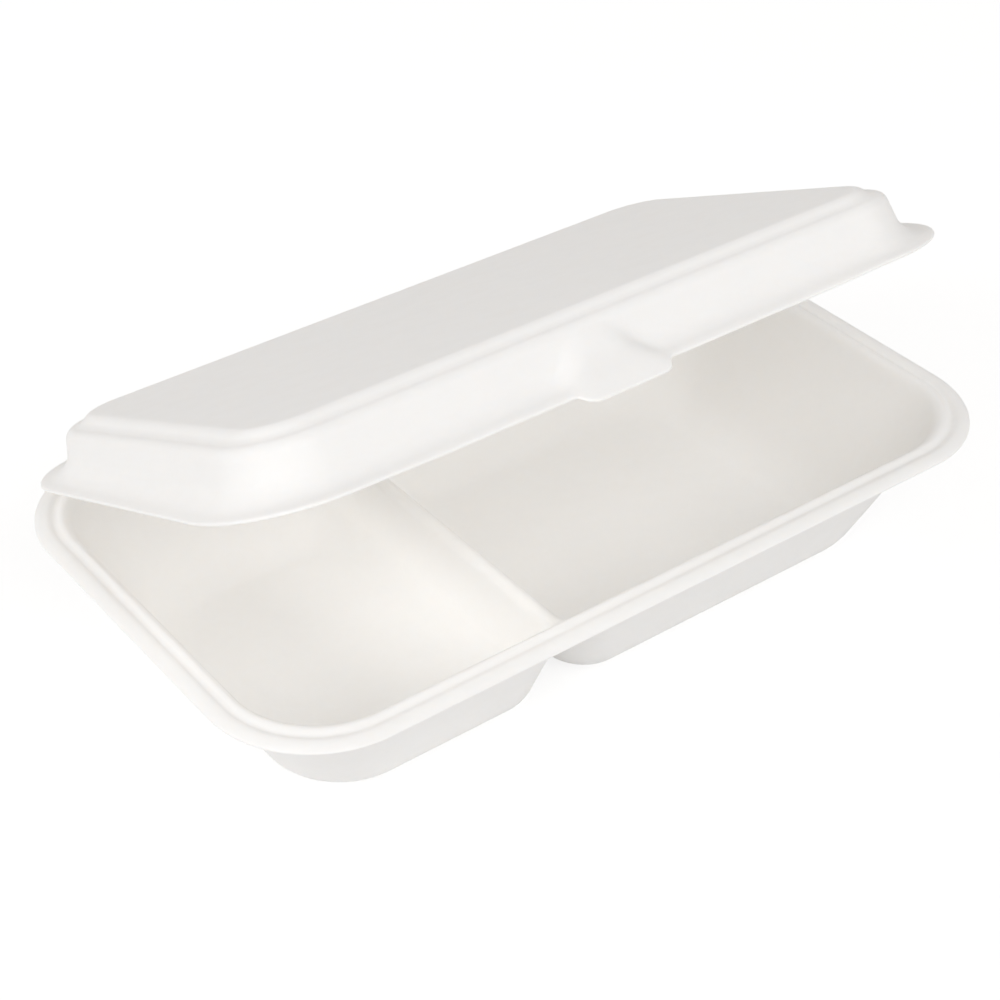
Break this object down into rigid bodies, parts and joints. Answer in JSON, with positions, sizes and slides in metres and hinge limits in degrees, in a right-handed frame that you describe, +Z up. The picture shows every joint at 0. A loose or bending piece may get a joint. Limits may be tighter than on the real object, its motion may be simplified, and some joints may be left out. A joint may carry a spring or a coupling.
{
  "type": "hinged two-compartment food box",
  "caption": "Rectangular moulded-fibre food box with rounded corners, a small and a large compartment beside a folded divider, and a shallow domed lid hinged along one long side, part open.",
  "frame": {"origin": "on the table, under the middle of the box", "axes": "+Z up; +X along the length, from the small compartment to the large one; +Y towards the hinge crease at the back"},
  "size_m": [0.24, 0.1401, 0.1073],
  "materials": {
    "moulded_fibre": "matte"
  },
  "bodies": {
    "tray": {"base_tray": "moulded_fibre"},
    "lid": {"lid": "moulded_fibre"}
  },
  "joints": [
    {"name": "lid_hinge", "type": "hinge", "parent": "tray", "child": "lid", "pos_m": [0, 0.07, 0.0402], "axis": [-1, 0, 0], "range_deg": [-25, 155]}
  ]
}
